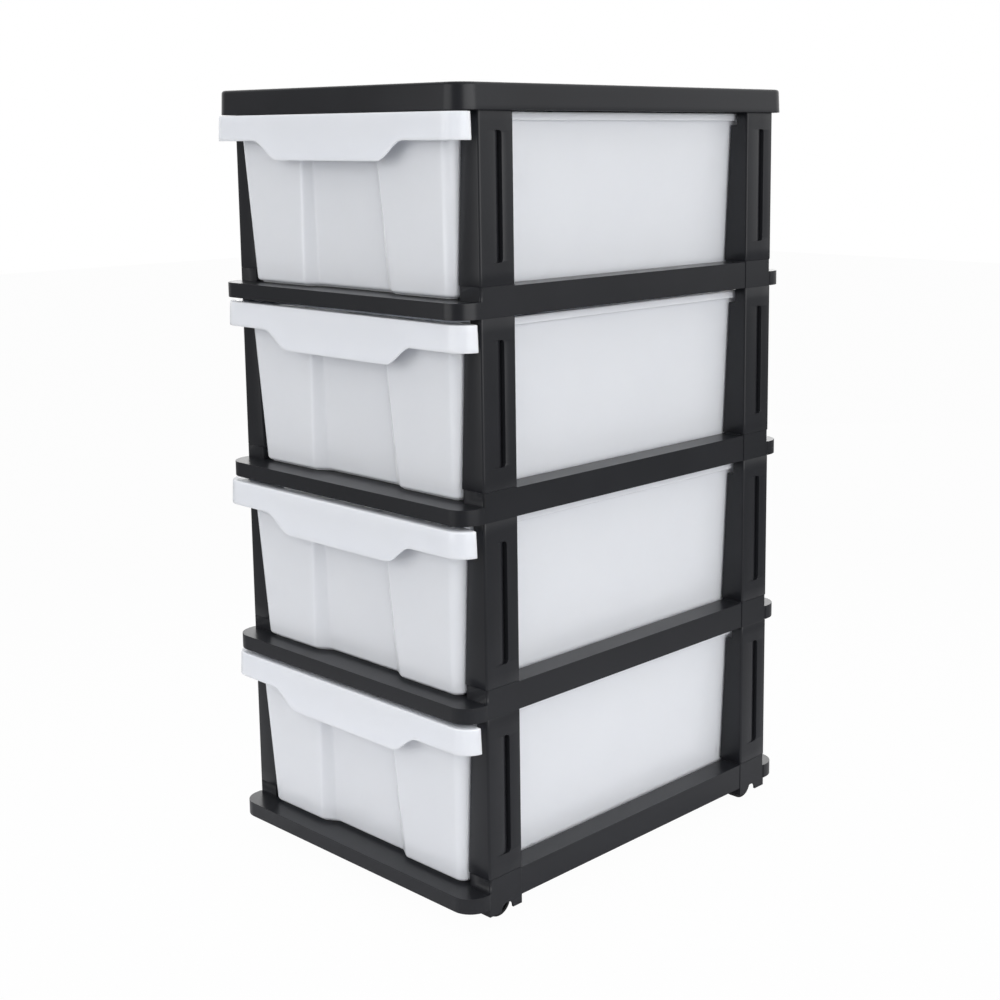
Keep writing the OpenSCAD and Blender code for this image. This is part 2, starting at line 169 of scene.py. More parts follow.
def drawnSteelWire(look):
    # drawn steel wire: fine lines along the pin and a dull grey shine
    material, tree = newMaterial("drawn steel wire")
    out = addNode(tree, "ShaderNodeOutputMaterial")
    coords = addNode(tree, "ShaderNodeTexCoord")
    stretch = addNode(tree, "ShaderNodeMapping", links={"Vector": coords.outputs["Object"]})
    across = 1000 / look["lineMm"]
    stretch.inputs["Scale"].default_value = (1000 / look["lineLengthMm"], across, across)
    lines = addNode(tree, "ShaderNodeTexNoise", links={"Vector": stretch.outputs["Vector"]},
                    Scale=1.0, Detail=2.0)
    rough = addNode(tree, "ShaderNodeMapRange", links={"Value": lines.outputs["Fac"]})
    rough.inputs["To Min"].default_value, rough.inputs["To Max"].default_value = look["roughness"]
    shader = addNode(tree, "ShaderNodeBsdfPrincipled", links={"Roughness": rough.outputs["Result"]},
                     Metallic=1.0)
    shader.inputs["Base Color"].default_value = srgb(look["colour"])
    tree.links.new(shader.outputs["BSDF"], out.inputs["Surface"])
    return material


steelWire = drawnSteelWire(steelWireLook)
print("materials made")


# a mould has no sharp outer edge: the solids of the frame and the castors get a small radius on theirs
frameEdges = {"radiusMm": 0.45, "steps": 2, "roomMm": 0.95, "sharpDegrees": 24}
castorEdges = {"radiusMm": 0.3, "steps": 2, "roomMm": 0.65, "sharpDegrees": 30}
weldMm, flatDegrees, creaseMargin = 0.002, 0.6, 12


def roundedFromSolid(nodeName, edges, material):
    # a merged copy of the solid; an edge is rounded where the edges beside it leave room for the radius
    bm = bmesh.new()
    bm.from_mesh(nodes[nodeName].data)
    bmesh.ops.remove_doubles(bm, verts=bm.verts, dist=weldMm * mm)
    bmesh.ops.dissolve_degenerate(bm, edges=bm.edges, dist=weldMm * mm)
    bmesh.ops.dissolve_limit(bm, angle_limit=math.radians(flatDegrees), verts=bm.verts, edges=bm.edges)
    sharp = {e for e in bm.edges if len(e.link_faces) == 2
             and e.calc_face_angle(0.0) > math.radians(edges["sharpDegrees"])}
    room = edges["roomMm"] * mm
    roomy = [e for e in sharp if e.calc_length() > room
             and all(other.calc_length() > room for vert in e.verts for other in vert.link_edges)]
    bmesh.ops.bevel(bm, geom=roomy, offset=edges["radiusMm"] * mm, offset_type="OFFSET",
                    segments=edges["steps"], profile=0.5, affect="EDGES", clamp_overlap=True)
    piece = finishMesh(nodeName + "_moulded", bm, material, edges["sharpDegrees"] + creaseMargin)
    flatFaces = piece.modifiers.new("flat faces stay flat", "WEIGHTED_NORMAL")
    flatFaces.keep_sharp = True
    return bakeModifiers(piece)


for nodeName in nodes:
    if nodeName.startswith(("shelf_", "base_frame")):
        place(roundedFromSolid(nodeName, frameEdges, framePlastic), "frame", nodeName)
print("shelf frames made")


def closedLoft(rings, name, material, sharpAngle=32):
    # rings of points, each joined to the next, with a flat cap at both ends
    bm = bmesh.new()
    rows = [[bm.verts.new(Vector(point) * mm) for point in ring] for ring in rings]
    count = len(rows[0])
    for low, high in zip(rows, rows[1:]):
        for i in range(count):
            j = (i + 1) % count
            bm.faces.new((low[i], low[j], high[j], high[i]))
    bm.faces.new(rows[0])
    bm.faces.new(rows[-1])
    bmesh.ops.remove_doubles(bm, verts=bm.verts, dist=2 * weldMm * mm)
    bmesh.ops.recalc_face_normals(bm, faces=bm.faces)
    return finishMesh(name, bm, material, sharpAngle)


def lerp(a, b, t):
    return a + (b - a) * t


def smooth(t):
    t = min(1.0, max(0.0, t))
    return t * t * (3 - 2 * t)


def mirrored(half):
    # right half, rear centre to front centre, made into a full loop
    return half + [(-x, *rest) for x, *rest in reversed(half)][1:-1]


def addBoxes(piece, boxes, bevelMm, steps, sharpAngle):
    # closed boxes with bevelled edges become part of a piece's mesh; each is given by two opposite corners
    bm = bmesh.new()
    for low, high in boxes:
        v = [bm.verts.new(Vector((x, y, z)) * mm)
             for x in (low[0], high[0]) for y in (low[1], high[1]) for z in (low[2], high[2])]
        for face in ((0, 1, 3, 2), (4, 6, 7, 5), (0, 4, 5, 1), (2, 3, 7, 6), (0, 2, 6, 4), (1, 5, 7, 3)):
            bm.faces.new([v[i] for i in face])
    bmesh.ops.recalc_face_normals(bm, faces=bm.faces)
    bmesh.ops.bevel(bm, geom=bm.edges, offset=bevelMm * mm, segments=steps, profile=0.5,
                    affect="EDGES", clamp_overlap=True)
    bm.from_mesh(piece.data)
    bm.to_mesh(piece.data)
    bm.free()
    piece.data.shade_smooth()
    piece.data.set_sharp_from_angle(angle=math.radians(sharpAngle))


def arc(centreX, centreY, radius, start, end, steps):
    # points of a plan arc, its angles in degrees
    turns = [math.radians(lerp(start, end, i / steps)) for i in range(steps + 1)]
    return [(centreX + radius * math.cos(a), centreY + radius * math.sin(a)) for a in turns]


postShape = {
    "flangeLow": 24.0, "flangeTop": 17.5, "flange": 3.0, "leg": 8.0, "edgeRadius": 2.0, "smallRadius": 0.5,
    "footBevel": 0.55, "notchX": 137.3, "notchLow": 117.2, "skin": 2.4, "hollowMargin": 10.4,
    "pocketFront": 8.0, "pocketLength": 15.5, "pocketDepth": 5.0, "pocketMargin": 17.0, "pocketRadius": 3.0,
    "pocketSlant": 0.22, "pocketLip": 0.45, "pocketEnds": (0.0, 0.4, 1.2, 3.0), "pocketMiddle": 20.0,
    "scoop": (0.0, 0.2, 0.4, 0.55, 0.68, 0.78, 0.86, 0.93, 0.98),
    "plugX": (142.4, 147.4), "plugInset": 4.5, "plugLow": -9.0, "plugTop": 7.0, "plugOverlap": 0.5,
    "plugBevel": 0.4, "sharpAngle": 28,
}


def postRing(p, z, inset, notched, pocketed, hollowed, overPocket):
    # plan outline of the front right post at a height: flange, round outer edge, scooped pocket, rear face and
    # hollow inner face; the last four say which of them are cut at that height
    high = tower["openHeight"]
    outX, frontY = tower["postHalfWidth"] - inset, -tower["postHalfDepth"] + inset
    rearY, inX = -tower["postHalfDepth"] + tower["postDepth"] - inset, outX + inset - p["leg"] + inset
    flangeX = tower["postHalfWidth"] - lerp(p["flangeLow"], p["flangeTop"], z / high) + inset
    flangeX = p["notchX"] if notched else flangeX
    backY = -tower["postHalfDepth"] + p["flange"] - inset
    small, big = p["smallRadius"], p["edgeRadius"] - inset
    pts = arc(flangeX + small, frontY + small, small, 180, 270, 3)
    pts += arc(outX - big, frontY + big, big, -90, 0, 8)

    pocketY = -tower["postHalfDepth"] + p["pocketFront"]
    nearEnd = min(z - p["pocketMargin"], high - p["pocketMargin"] - z)
    short = p["pocketRadius"] - min(p["pocketRadius"], max(0.0, nearEnd))
    wallY = pocketY + p["pocketLength"] - p["pocketRadius"]
    wallY += math.sqrt(max(0.0, p["pocketRadius"] ** 2 - short ** 2))      # the pocket's ends are rounded
    lip = p["pocketLip"] if pocketed else 0.0

    def sunk(t):
        # nearly level at the front, then scooped down to its full depth at the rear wall
        return p["pocketDepth"] * (p["pocketSlant"] * t + (1 - p["pocketSlant"]) * t ** 5) if pocketed else 0.0

    for share in p["scoop"]:
        y = lerp(pocketY, wallY, share)
        pts.append((outX - sunk((y - pocketY) / p["pocketLength"]), y))
    depth = sunk((wallY - pocketY) / p["pocketLength"])
    pts += [(outX - depth + 0.3 * lip, wallY), (outX - lip, wallY),
            (outX - 0.3 * lip, wallY + 0.3 * p["pocketLip"]), (outX, wallY + p["pocketLip"])]

    pts += arc(outX - small, rearY - small, small, 0, 90, 3)
    pts += arc(inX + small, rearY - small, small, 90, 180, 3)
    deep = tower["postHalfWidth"] - p["skin"] - inX if hollowed else 0.0
    shallow = deep - p["pocketDepth"] if hollowed and overPocket else deep
    hollowRear, hollowFront = rearY - p["skin"] + inset, backY + p["skin"] + inset
    islandRear, islandFront = pocketY + p["pocketLength"] + p["skin"], pocketY - p["skin"]
    pts += [(inX, hollowRear), (inX + deep, hollowRear), (inX + deep, islandRear), (inX + shallow, islandRear),
            (inX + shallow, islandFront), (inX + deep, islandFront), (inX + deep, hollowFront), (inX, hollowFront)]
    pts += [(inX, backY), (flangeX + small, backY)] + arc(flangeX + small, backY - small, small, 120, 180, 2)
    return [(x, y + tower["planShift"], z) for x, y in pts]


def makePosts(p):
    # sixteen equal posts: a right one and its mirror image, the rear ones set back by the depth of the tower
    high, end = tower["openHeight"], p["footBevel"]
    low, pocketLow, island = p["hollowMargin"], p["pocketMargin"], p["pocketMargin"] - p["skin"]
    middle = p["pocketMiddle"]
    # height, inset, then notched, pocketed, hollowed, hollow over the pocket
    rows = [(0.0, end, 0, 0, 0, 0), (0.3 * end, 0.3 * end, 0, 0, 0, 0), (end, 0.0, 0, 0, 0, 0)]
    rows += [(low, 0.0, 0, 0, 0, 0), (low, 0.0, 0, 0, 1, 0)]
    rows += [(island, 0.0, 0, 0, 1, 0), (island, 0.0, 0, 0, 1, 1), (pocketLow, 0.0, 0, 0, 1, 1)]
    rows += [(pocketLow + up, 0.0, 0, 1, 1, 1) for up in p["pocketEnds"]]
    rows += [(lerp(middle, high - middle, i / 6), 0.0, 0, 1, 1, 1) for i in range(1, 6)]
    rows += [(high - pocketLow - up, 0.0, 0, 1, 1, 1) for up in reversed(p["pocketEnds"])]
    rows += [(high - pocketLow, 0.0, 0, 0, 1, 1)]
    rows += [(high - island, 0.0, 0, 0, 1, 1), (high - island, 0.0, 0, 0, 1, 0)]
    rows += [(p["notchLow"], 0.0, 0, 0, 1, 0), (p["notchLow"], 0.0, 1, 0, 1, 0)]
    rows += [(high - low, 0.0, 1, 0, 1, 0), (high - low, 0.0, 1, 0, 0, 0)]
    rows += [(high - end, 0.0, 1, 0, 0, 0), (high - 0.3 * end, 0.3 * end, 1, 0, 0, 0), (high, end, 1, 0, 0, 0)]
    right = closedLoft([postRing(p, *row) for row in rows], "post_1_fr_moulded", framePlastic, p["sharpAngle"])

    plugFront = tower["planShift"] - tower["postHalfDepth"] + p["plugInset"]
    plugRear = plugFront + tower["postDepth"] - 2 * p["plugInset"]
    plugHeights = ((p["plugLow"], p["plugOverlap"]), (high - p["plugOverlap"], high + p["plugTop"]))
    plugs = [((p["plugX"][0], plugFront, z0), (p["plugX"][1], plugRear, z1)) for z0, z1 in plugHeights]
    addBoxes(right, plugs, p["plugBevel"], 1, p["sharpAngle"])

    left = right.data.copy()
    left.transform(Matrix.Scale(-1, 4, (1, 0, 0)))
    bm = bmesh.new()
    bm.from_mesh(left)
    bmesh.ops.reverse_faces(bm, faces=bm.faces)          # the mirror image would be inside out
    bm.to_mesh(left)
    bm.free()
    left.shade_smooth()
    left.set_sharp_from_angle(angle=math.radians(p["sharpAngle"]))
    setBack = 2 * tower["postHalfDepth"] - tower["postDepth"]
    shapes = {"fr": (right.data, 0.0), "fl": (left, 0.0), "rr": (right.data, setBack), "rl": (left, setBack)}
    for tier, plane in enumerate(tierPlanes, 1):
        for corner, (shape, back) in shapes.items():
            name = f"post_{tier}_{corner}"
            post = newPiece(name + "_moulded", shape.copy())
            post.data.transform(Matrix.Translation((0, back * mm, plane * mm)))
            place(post, "frame", name)
    bpy.data.objects.remove(right)
    print("posts made:", len(left.polygons), "faces each")


makePosts(postShape)

coverShape = {
    "cornerRadius": 18.0, "flare": 0.8, "edgeRadius": 2.6, "edgeSteps": 6, "wall": 2.5, "bossWidth": 23.0,
    "bossInset": 0.4, "bossOverlap": 0.5, "bossBevel": 0.6,
    "inside": ((14.0, 0.0), (2.0, 0.0), (0.9, 1.1)),     # in from the wall, and down from the underside
    "skirtEdge": ((2.3, 0.5), (1.9, 0.0), (0.5, 0.0), (0.12, 0.15), (0.0, 0.6)),   # in, and up from the edge
    "topRings": (6.4, 40.0),
}


def roundedRectangle(halfX, halfY, radius, steps=14):
    loop = []
    for quarter, (sx, sy) in enumerate(((1, 1), (-1, 1), (-1, -1), (1, -1))):
        for i in range(steps + 1):
            a = math.radians(90 * (quarter + i / steps))
            loop.append((sx * (halfX - radius) + radius * math.cos(a),
                         sy * (halfY - radius) + radius * math.sin(a)))
    return loop


def makeCover(shape):
    # a cap with a slightly flared skirt and a rounded upper edge, over four square bosses for the posts
    lowCorner, highCorner = ([value / mm for value in corner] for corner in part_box("cover"))
    low, top = lowCorner[2], highCorner[2]
    wide, deep = highCorner[0], highCorner[1] - tower["planShift"]
    wall, flare, edge = shape["wall"], shape["flare"], shape["edgeRadius"]

    def ring(inset, z):
        loop = roundedRectangle(wide - inset, deep - inset, max(2.0, shape["cornerRadius"] - inset))
        return [(x, y + tower["planShift"], z) for x, y in loop]

    rings = [ring(wall + inset, top - wall - down) for inset, down in shape["inside"]]
    rings += [ring(inset, low + up) for inset, up in shape["skirtEdge"]]
    rings += [ring(lerp(0, flare, t), lerp(low, top - edge, t)) for t in (0.25, 0.5, 0.75, 1.0)]
    for i in range(1, shape["edgeSteps"] + 1):
        a = math.radians(90 * i / shape["edgeSteps"])
        rings.append(ring(flare + edge * (1 - math.cos(a)), top - edge + edge * math.sin(a)))
    rings += [ring(inset, top) for inset in shape["topRings"]]
    cap = closedLoft(rings, "cover_moulded", framePlastic)

    bosses = []
    bossLow = tierPlanes[3] + tower["openHeight"] + shape["bossInset"]
    bossTop = top - wall + shape["bossOverlap"]
    halfWidth, halfDepth = tower["postHalfWidth"], tower["postHalfDepth"]
    for sx in (-1, 1):
        for sy in (-1, 1):
            x0, x1 = sorted(sx * x for x in (halfWidth - shape["bossWidth"], wide - wall + shape["bossOverlap"]))
            y0, y1 = sorted(sy * y for y in (halfDepth - tower["postDepth"], halfDepth))
            bosses.append(((x0, y0 + tower["planShift"], bossLow), (x1, y1 + tower["planShift"], bossTop)))
    addBoxes(cap, bosses, shape["bossBevel"], 2, 32)
    return cap


place(makeCover(coverShape), "frame", "cover")
print("cover made")


drawerShape = {
    "halfLow": 123.7, "sideDraft": 0.0459, "frontLow": 178.5, "frontDraft": 0.0527,
    "rearLow": 167.0, "rearDraft": 0.0224, "cornerRadius": 9.0, "wall": 2.0, "floorRadius": 3.0,
    "bottom": -9.3, "bottomRadius": 3.0, "rim": 127.2, "rimPlate": 2.2, "rimOut": 4.0, "rimSkirt": 6.2,
    "rimSkirtWall": 1.6, "rimRadius": 1.1, "mouthRadius": 1.0,
    "apronHalf": 151.4, "apronFront": 197.0, "apronBack": 181.9, "apronCorner": 18.0, "apronWall": 2.0,
    "apronEnd": 106.6, "apronMiddle": 91.3, "apronOuter": 92.0, "apronInner": 61.5, "apronFlare": 0.9,
    "apronRadius": 0.9, "lipRound": (0.35, 0.4, 0.6),
    "recessDepth": 7.0, "recessOuterLow": 55.0, "recessOuterHigh": 46.5, "recessInnerLow": 43.0,
    "recessInnerHigh": 39.5, "recessTop": 98.0, "recessRound": 1.6, "recessFade": 5.0, "recessInside": 0.7,
    "levels": (8, 25, 45, 65, 82, 90, 92.5, 93.5, 94.5, 95.5, 96.5, 97.5, 98.5, 104, 112, 120),
    "foot": (3.3, 5.3), "footHeight": 1.1, "footTaper": 0.3, "cornerShare": 0.6,
    "skidX": (106.7, 112.7), "skidY": (-147.0, 157.0), "skidHeight": 1.2, "stopY": (89.3, 92.3),
    "stopReach": 1.0, "skidOverlap": 0.5, "skidBevel": 0.4,
}


def drawerRings(d):
    # one loop after another: up the inside, over the rim, down the apron and its back, then down the outside
    rimTop, corner = d["rim"], d["cornerRadius"]
    rearSteps, cornerSteps, sideSteps = 8, 10, 24
    rimPoints = rearSteps + cornerSteps + sideSteps       # rear, corner and side come first in the outline
    jogPoints = 5                                         # then the step from the rim out to the apron

    def half(z):
        return d["halfLow"] + d["sideDraft"] * z

    def front(z):
        return -(d["frontLow"] + d["frontDraft"] * z)

    def rear(z):
        return d["rearLow"] + d["rearDraft"] * z

    def recessEdges(z):
        t = (z - d["bottom"]) / (d["recessTop"] - d["bottom"])
        outer = lerp(d["recessOuterLow"], d["recessOuterHigh"], t)
        return outer, lerp(d["recessInnerLow"], d["recessInnerHigh"], t)

    def recess(x, z, grow):
        # how far the front is set back, with a small radius at both ends of the ramp
        outer, inner = recessEdges(min(z, d["recessTop"]))
        outer, inner, r = outer + grow, inner + grow, d["recessRound"]
        slope = d["recessDepth"] / (outer - inner)
        x = abs(x)

        def ramp(v):
            if v <= -r:
                return 0.0
            return slope * (v + r) ** 2 / (4 * r) if v < r else slope * v

        depth = ramp(outer - x) - ramp(inner - x)
        return depth * smooth((d["recessTop"] - z) / d["recessFade"])

    def frontColumns(z, endX, grow):
        # where the front has its points, from the corner to the middle: closer where apron and recess bend
        outer, inner = recessEdges(min(z, d["recessTop"]))
        outer, inner, r = outer + grow, inner + grow, d["recessRound"]
        columns = [lerp(endX, d["apronOuter"], i / 5) for i in range(5)]
        columns += [lerp(d["apronOuter"], d["apronInner"], i / 16) for i in range(16)]
        columns += [d["apronInner"], lerp(d["apronInner"], outer + r, 0.6)]
        columns += [outer + r * k for k in (1, 0.5, 0, -0.5, -1)]
        columns += [lerp(outer - r, inner + r, k) for k in (0.33, 0.67)]
        columns += [inner + r * k for k in (1, 0.5, 0, -0.5, -1)]
        columns += [lerp(inner - r, 0.0, i / 7) for i in range(1, 8)]
        return columns

    def rearAndSide(w, b, r, sideEnd):
        pts = [(lerp(0.0, w - r, i / rearSteps), b) for i in range(rearSteps)]
        pts += arc(w - r, b - r, r, 90, 0, cornerSteps)
        return pts + [(w, lerp(b - r, sideEnd, i / sideSteps)) for i in range(1, sideSteps)]

    def tub(z, inset, radius, grow=0.0):
        # body outline at a height: rear, corner, side, corner, front with its recess
        w, f, b = half(z) - inset, front(z) + inset, rear(z) - inset
        r = max(0.8, radius)
        pts = rearAndSide(w, b, r, f + r)
        pts += arc(w - r, f + r, r, 0, -90, 2 * cornerSteps)[:-1]
        pts += [(x, f + recess(x, z, grow)) for x in frontColumns(z, w - r, grow)]
        return mirrored([(x, y, z) for x, y in pts])

    def rim(inset, apronInset):
        # outer outline: rim at the rear and sides, then out to the apron and round its corner
        w, b = half(rimTop) + d["rimOut"] - inset, rear(rimTop) + d["rimOut"] - inset
        wide, deep, big = (d[key] - apronInset for key in ("apronHalf", "apronFront", "apronCorner"))
        back = -d["apronBack"]
        turn = math.asin((-back - (deep - big)) / big)
        pts = rearAndSide(w, b, corner + d["rimOut"] - inset, back)
        jogEnd = wide - big + big * math.cos(turn)
        pts += [(w, back), (w + 0.01, back)] + [(lerp(w, jogEnd, t), back) for t in (0.3, 0.6, 0.97, 0.999)]
        pts += arc(wide - big, big - deep, big, -math.degrees(turn), -90, 14)[:-1]
        return pts + [(x, -deep) for x in frontColumns(d["apronMiddle"], wide - big, 0.0)]

    def hangingDepth(index, x):
        # how far the outer edge hangs down at each point of the outline
        if index <= rimPoints:
            return d["rimSkirt"]
        if index < rimPoints + jogPoints:
            return d["rimPlate"]
        drop = smooth((d["apronOuter"] - abs(x)) / (d["apronOuter"] - d["apronInner"]))
        return rimTop - lerp(d["apronEnd"], d["apronMiddle"], drop)

    depths = [hangingDepth(i, x) for i, (x, _) in enumerate(rim(0.0, 0.0))]

    def rimRing(inset, apronInset, height):
        return mirrored([(x, y, height(i)) for i, (x, y) in enumerate(rim(inset, apronInset))])

    wall, skirtWall, flare, levels = d["wall"], d["rimSkirtWall"], d["apronFlare"], d["levels"]
    rings = []
    for angle in (0, 30, 60, 90):                         # the round between floor and walls
        a = math.radians(angle)
        inset = wall + d["floorRadius"] * (1 - math.sin(a))
        z = d["bottom"] + wall + d["floorRadius"] * (1 - math.cos(a))
        rings.append(tub(z, inset, corner - inset, d["recessInside"]))
    rings += [tub(z, wall, corner - wall, d["recessInside"]) for z in levels]
    for angle in (0, 45, 90):                             # the mouth
        a = math.radians(angle)
        inset = wall - d["mouthRadius"] * (1 - math.cos(a))
        rings.append(tub(rimTop - d["mouthRadius"] * (1 - math.sin(a)), inset, corner - inset))
    for angle in (90, 60, 30, 0):                         # the outer edge of rim and apron
        a = math.radians(angle)
        across, down = 1 - math.cos(a), 1 - math.sin(a)
        rings.append(rimRing(d["rimRadius"] * across, flare + d["apronRadius"] * across,
                             lambda i: rimTop - down * (d["apronRadius"] if i > rimPoints else d["rimRadius"])))
    for share in (0.3, 0.5, 0.7, 0.85, 0.96):
        rings.append(rimRing(0.0, flare * (1 - share), lambda i: rimTop - depths[i] * share))
    rimRound, apronRound, rise = d["lipRound"]            # its lower edge, and up again behind it
    for inset, apronInset, up in ((rimRound, apronRound, 0.0),
                                  (skirtWall - rimRound, d["apronWall"] - apronRound, 0.0),
                                  (skirtWall, d["apronWall"], rise)):
        rings.append(rimRing(inset, apronInset, lambda i: rimTop - depths[i] + up))
    rings.append(rimRing(skirtWall, d["apronWall"] + flare, lambda i: rimTop - d["rimPlate"]))
    rings += [tub(z, 0.0, corner) for z in (rimTop - d["rimPlate"], *reversed(levels))]
    for angle in (0, 15, 30, 45, 60, 75, 90):             # the lower edge of the body
        a = math.radians(angle)
        inset = d["bottomRadius"] * (1 - math.cos(a))
        z = d["bottom"] + d["bottomRadius"] * (1 - math.sin(a))
        rings.append(tub(z, inset, corner - inset * d["cornerShare"]))
    outer, inner = d["foot"]
    for inset, down in ((outer, 0.0), (outer + d["footTaper"], 1.0), (inner - d["footTaper"], 1.0), (inner, 0.0)):
        rings.append(tub(d["bottom"] - down * d["footHeight"], inset, corner - inset * d["cornerShare"]))
    return rings


def makeDrawers(d):
    # four equal mouldings; each stands as far out of its tier as its own solid does
    first = closedLoft(drawerRings(d), "drawer_1_moulded", drawerPlastic)
    low, high = d["bottom"] - d["skidHeight"], d["bottom"] + d["skidOverlap"]
    (x0, x1), (y0, y1), (stop0, stop1) = d["skidX"], d["skidY"], d["stopY"]
    stopEnd = x0 + d["stopReach"]
    addBoxes(first, [((-x1, y0, low), (-x0, y1, high)), ((x0, y0, low), (x1, y1, high)),
                     ((-stopEnd, stop0, low), (stopEnd, stop1, high))], d["skidBevel"], 1, 32)
    pieces = [first] + [newPiece(f"drawer_{tier}_moulded", first.data.copy()) for tier in (2, 3, 4)]
    for tier, piece in enumerate(pieces, 1):
        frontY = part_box(f"drawer_{tier}")[0][1]
        piece.data.transform(Matrix.Translation((0, frontY + d["apronFront"] * mm, tierPlanes[tier - 1] * mm)))
        place(piece, f"drawer_{tier}", f"drawer_{tier}")
    print("drawers made:", len(first.data.polygons), "faces each")


makeDrawers(drawerShape)


for corner in ("fl", "fr", "rl", "rr"):
    for part, body in (("castor_fork_", "swivel_"), ("castor_wheel_", "wheel_")):
        piece = roundedFromSolid(part + corner, castorEdges, castorPlastic)
        place(piece, body + corner, part + corner)
    pin = nodes["castor_axle_" + corner].data
    pin.materials.clear()
    pin.materials.append(steelWire)
print("castors made")


ribLayout = {
    "Decks": 4, "Deck Pitch": 154.0, "Cross Ribs": 7, "Cross Pitch": 40.0, "Long Ribs": 5, "Long Pitch": 40.0,
    "Rib Width": 1.2, "Rib Height": 2.6, "Cross Length": 253.4, "Long Length": 391.0, "First Deck": 0.0,
}
deckUnderside, ribOverlap = -13.2, 0.3     # from the plane of a tier's posts, and how far a rib stands in the deck


def ribTree():
    # a grid of thin ribs, two rows of boxes at right angles, repeated under every deck
    tree = bpy.data.node_groups.new("deck ribs", "GeometryNodeTree")
    for name, value in ribLayout.items():
        kind = "NodeSocketInt" if isinstance(value, int) else "NodeSocketFloat"
        tree.interface.new_socket(name, in_out="INPUT", socket_type=kind)
    tree.interface.new_socket("Material", in_out="INPUT", socket_type="NodeSocketMaterial")
    tree.interface.new_socket("Ribs", in_out="OUTPUT", socket_type="NodeSocketGeometry")
    given = addNode(tree, "NodeGroupInput").outputs

    def ribRow(count, pitch, axis, size):
        last = addNode(tree, "ShaderNodeMath", {"operation": "SUBTRACT"}, {0: given[count]})
        last.inputs[1].default_value = 1.0
        span = addNode(tree, "ShaderNodeMath", {"operation": "MULTIPLY"}, {0: last.outputs[0], 1: given[pitch]})
        start = addNode(tree, "ShaderNodeMath", {"operation": "MULTIPLY"}, {0: span.outputs[0]})
        start.inputs[1].default_value = -0.5
        first = addNode(tree, "ShaderNodeCombineXYZ", links={axis: start.outputs[0]})
        step = addNode(tree, "ShaderNodeCombineXYZ", links={axis: given[pitch]})
        line = addNode(tree, "GeometryNodeMeshLine", links={
            "Count": given[count], "Start Location": first.outputs[0], "Offset": step.outputs[0]})
        box = addNode(tree, "ShaderNodeCombineXYZ", links=size)
        rib = addNode(tree, "GeometryNodeMeshCube", links={"Size": box.outputs[0]})
        row = addNode(tree, "GeometryNodeInstanceOnPoints",
                      links={"Points": line.outputs[0], "Instance": rib.outputs[0]})
        return row.outputs[0]

    cross = ribRow("Cross Ribs", "Cross Pitch", "Y",
                   {"X": given["Cross Length"], "Y": given["Rib Width"], "Z": given["Rib Height"]})
    along = ribRow("Long Ribs", "Long Pitch", "X",
                   {"X": given["Rib Width"], "Y": given["Long Length"], "Z": given["Rib Height"]})
    grid = addNode(tree, "GeometryNodeJoinGeometry")
    for row in (cross, along):
        tree.links.new(row, grid.inputs[0])
    lowest = addNode(tree, "ShaderNodeCombineXYZ", links={"Z": given["First Deck"]})
    storey = addNode(tree, "ShaderNodeCombineXYZ", links={"Z": given["Deck Pitch"]})
    decks = addNode(tree, "GeometryNodeMeshLine", links={
        "Count": given["Decks"], "Start Location": lowest.outputs[0], "Offset": storey.outputs[0]})
    everyDeck = addNode(tree, "GeometryNodeInstanceOnPoints",
                        links={"Points": decks.outputs[0], "Instance": grid.outputs[0]})
    real = addNode(tree, "GeometryNodeRealizeInstances", links={"Geometry": everyDeck.outputs[0]})
    painted = addNode(tree, "GeometryNodeSetMaterial",
                      links={"Geometry": real.outputs[0], "Material": given["Material"]})
    addNode(tree, "NodeGroupOutput", links={"Ribs": painted.outputs[0]})
    return tree


def makeRibs(layout):
    ribs = newPiece("deck_ribs_moulded", bpy.data.meshes.new("deck_ribs_moulded"))
    grid = ribs.modifiers.new("rib grid", "NODES")
    grid.node_group = ribTree()
    sizes = dict(layout)
    sizes["First Deck"] = tierPlanes[0] + deckUnderside + ribOverlap - layout["Rib Height"] / 2
    for item in grid.node_group.interface.items_tree:
        if item.in_out == "INPUT":
            value = sizes.get(item.name, framePlastic)
            grid[item.identifier] = value * mm if isinstance(value, float) else value
    bakeModifiers(ribs)
    ribs.data.transform(Matrix.Translation((0, tower["planShift"] * mm, 0)))
    place(ribs, "frame", None)
    print("ribs made:", len(ribs.data.polygons), "faces")


makeRibs(ribLayout)


studio = {
    # the paper's far tone and its fade are painted shade: the light falling off away from the tower, put into the
    # paper's colour
    "floorSize": 6.0, "floorNear": "#dddddf", "floorPaintedShade": "#7d7d7d", "floorPaintedFalloff": (0.15, 1.2), "whiteShare": 0.975,
    "skyForMatt": 0.86, "skyInFront": 0.13, "skyBehind": 1.0, "skyTurn": (-0.7, 0.3),
    "leftPower": 13.5, "rightPower": 24.0, "lampDistance": 2.0, "lampHeight": 1.7, "lampMiddle": 0.75,
    "leftWidth": 1.5, "rightWidth": 2.1, "leftTurn": -16.0, "rightTurn": 84.0,
    "rearPower": 13.0, "rearWidth": 1.5, "rearTurn": 222.0,
}


